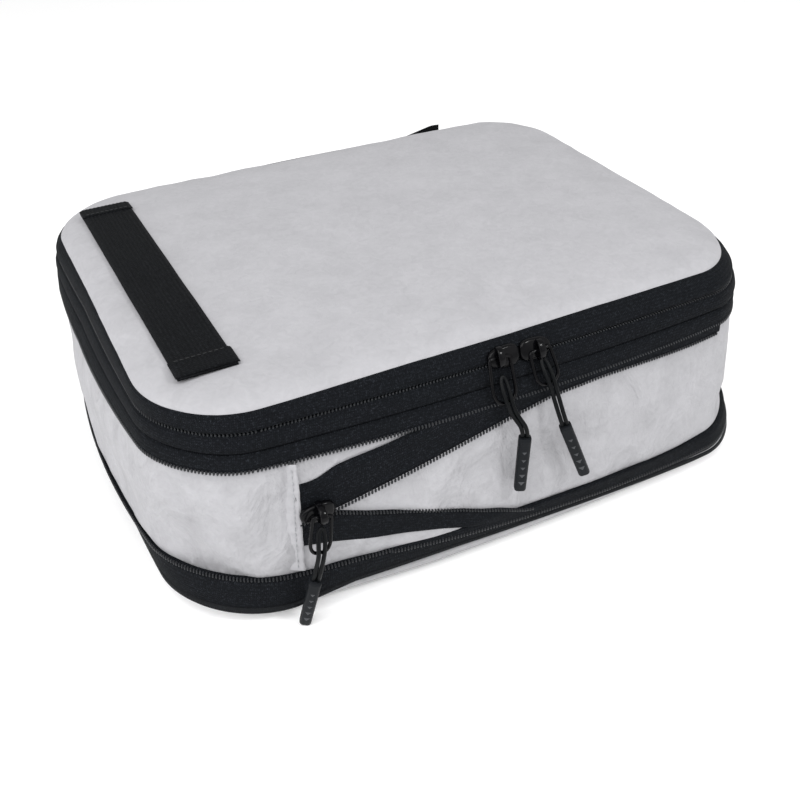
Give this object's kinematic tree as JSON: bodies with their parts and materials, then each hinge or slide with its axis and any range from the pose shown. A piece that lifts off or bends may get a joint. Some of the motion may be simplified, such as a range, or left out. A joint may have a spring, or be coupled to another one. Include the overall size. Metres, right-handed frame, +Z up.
{
  "type": "packing cube",
  "caption": "Soft zipped packing cube with a padded lid, a flat carry strap on top and a compression zip round its folding side wall, shown expanded",
  "frame": {"origin": "centre of the flat face the bottom panel rests on", "axes": "+X along the long side, -Y is the side the zip pulls hang on, +Z up"},
  "size_m": [0.3054, 0.2506, 0.1082],
  "materials": {
    "grey_nylon": "crinkled light grey ripstop nylon",
    "black_webbing": "ribbed black elastic webbing",
    "zip_tape": "matte black woven tape",
    "zip_coil": "black nylon coil",
    "slider_metal": "gloss black lacquered zinc",
    "pull_cord": "black braided cord",
    "pull_rubber": "matte black moulded rubber"
  },
  "bodies": {
    "base": {"bottom_panel": "grey_nylon", "bottom_piping": "zip_tape", "bottom_band": "zip_tape", "bottom_seam_binding": "zip_tape", "compression_tape_lower": "zip_tape", "compression_coil_lower": "zip_coil", "gusset_lower": "grey_nylon", "start_tape_lower": "zip_tape", "start_coil_lower": "zip_coil", "seam_flap": "grey_nylon"},
    "middle": {"gusset_middle": "grey_nylon", "start_stop": "slider_metal"},
    "upper": {"gusset_upper": "grey_nylon", "compression_coil_upper": "zip_coil", "compression_tape_upper": "zip_tape", "upper_seam_binding": "zip_tape", "main_zip_tape_body": "zip_tape", "main_zip_coil_body": "zip_coil", "main_zip_stops": "slider_metal", "rear_handle": "black_webbing", "start_tape_upper": "zip_tape", "start_coil_upper": "zip_coil"},
    "lid": {"lid_panel": "grey_nylon", "main_zip_tape_lid": "zip_tape", "main_zip_coil_lid": "zip_coil", "lid_seam_binding": "zip_tape", "lid_hinge_cord": "pull_cord", "handle_strap": "black_webbing"},
    "left_slider_body": {"left_slider": "slider_metal"},
    "left_hoop_body": {"left_hoop": "slider_metal"},
    "left_pull_body": {"left_cord": "pull_cord", "left_grip": "pull_rubber"},
    "right_slider_body": {"right_slider": "slider_metal"},
    "right_hoop_body": {"right_hoop": "slider_metal"},
    "right_pull_body": {"right_cord": "pull_cord", "right_grip": "pull_rubber"},
    "compression_slider_body": {"compression_slider": "slider_metal"},
    "compression_hoop_body": {"compression_hoop": "slider_metal"},
    "compression_pull_body": {"compression_cord": "pull_cord", "compression_grip": "pull_rubber"}
  },
  "joints": [
    {"name": "compress", "type": "slide", "parent": "base", "child": "upper", "axis": [0, 0, 1], "range_m": [-0.048, 0], "deforming": ["seam_flap", "start_tape_lower", "start_coil_lower", "start_tape_upper", "start_coil_upper"]},
    {"name": "fold", "type": "slide", "parent": "base", "child": "middle", "axis": [0, 0, 1], "range_m": [-0.024, 0]},
    {"name": "lid_open", "type": "hinge", "parent": "upper", "child": "lid", "pos_m": [0, 0.10404, 0.092], "axis": [-1, 0, 0], "range_deg": [0, 100]},
    {"name": "zip_left", "type": "slide", "parent": "upper", "child": "left_slider_body", "axis": [-1, 0, 0], "range_m": [0, 0.058]},
    {"name": "zip_right", "type": "slide", "parent": "upper", "child": "right_slider_body", "axis": [1, 0, 0], "range_m": [0, 0.072]},
    {"name": "zip_compression", "type": "slide", "parent": "middle", "child": "compression_slider_body", "axis": [1, 0, 0], "range_m": [0, 0.063]},
    {"name": "hoop_left", "type": "hinge", "parent": "left_slider_body", "child": "left_hoop_body", "pos_m": [-0.0074, -0.10973, 0.09104], "axis": [-0.9986, 0, 0.0523], "range_deg": [0, 110]},
    {"name": "pull_left", "type": "hinge", "parent": "left_hoop_body", "child": "left_pull_body", "pos_m": [-0.00825, -0.11762, 0.07488], "axis": [-0.9986, 0, 0.0523], "range_deg": [0, 90]},
    {"name": "hoop_right", "type": "hinge", "parent": "right_slider_body", "child": "right_hoop_body", "pos_m": [0.0106, -0.10973, 0.09104], "axis": [-0.9962, 0, -0.0872], "range_deg": [0, 110]},
    {"name": "pull_right", "type": "hinge", "parent": "right_hoop_body", "child": "right_pull_body", "pos_m": [0.01201, -0.11762, 0.07492], "axis": [-0.9962, 0, -0.0872], "range_deg": [0, 90]},
    {"name": "hoop_compression", "type": "hinge", "parent": "compression_slider_body", "child": "compression_hoop_body", "pos_m": [-0.088, -0.1193, 0.0553], "axis": [-0.9848, 0, 0.1736], "range_deg": [0, 110]},
    {"name": "pull_compression", "type": "hinge", "parent": "compression_hoop_body", "child": "compression_pull_body", "pos_m": [-0.09109, -0.1218, 0.03775], "axis": [-0.9848, 0, 0.1736], "range_deg": [0, 90]}
  ],
  "couplings": [
    {"joint": "fold", "follows": "compress", "ratio": 0.5},
    {"joint": "zip_compression", "follows": "compress", "ratio": -1.3125}
  ]
}
